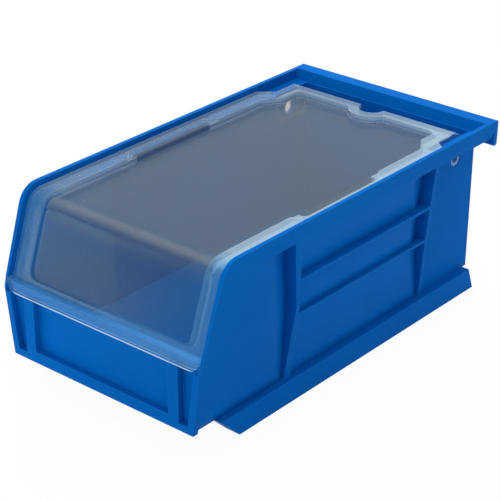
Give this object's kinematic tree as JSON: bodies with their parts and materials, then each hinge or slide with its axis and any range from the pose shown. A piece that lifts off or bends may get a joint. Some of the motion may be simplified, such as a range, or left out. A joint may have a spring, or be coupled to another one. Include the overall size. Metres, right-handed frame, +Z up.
{
  "type": "stackable storage bin",
  "caption": "Open-front stacking and hanging storage bin in moulded plastic, with base rails, a rear hanging lip, a label recess and a clear lid hinged at the back.",
  "frame": {"origin": "middle of the bin on the plane that its rails stand on", "axes": "+X to the bin's right as seen from its front, +Y to the back where the hanging lip is, +Z up"},
  "size_m": [0.1048, 0.1872, 0.0762],
  "materials": {
    "bin_plastic": "satin moulded polypropylene",
    "lid_plastic": "clear moulded plastic"
  },
  "bodies": {
    "bin": {"bin_body": "bin_plastic"},
    "lid": {"clear_lid": "lid_plastic"}
  },
  "joints": [
    {"name": "lid_hinge", "type": "hinge", "parent": "bin", "child": "lid", "pos_m": [0, 0.07305, 0.0637], "axis": [-1, 0, 0], "range_deg": [0, 100]}
  ]
}
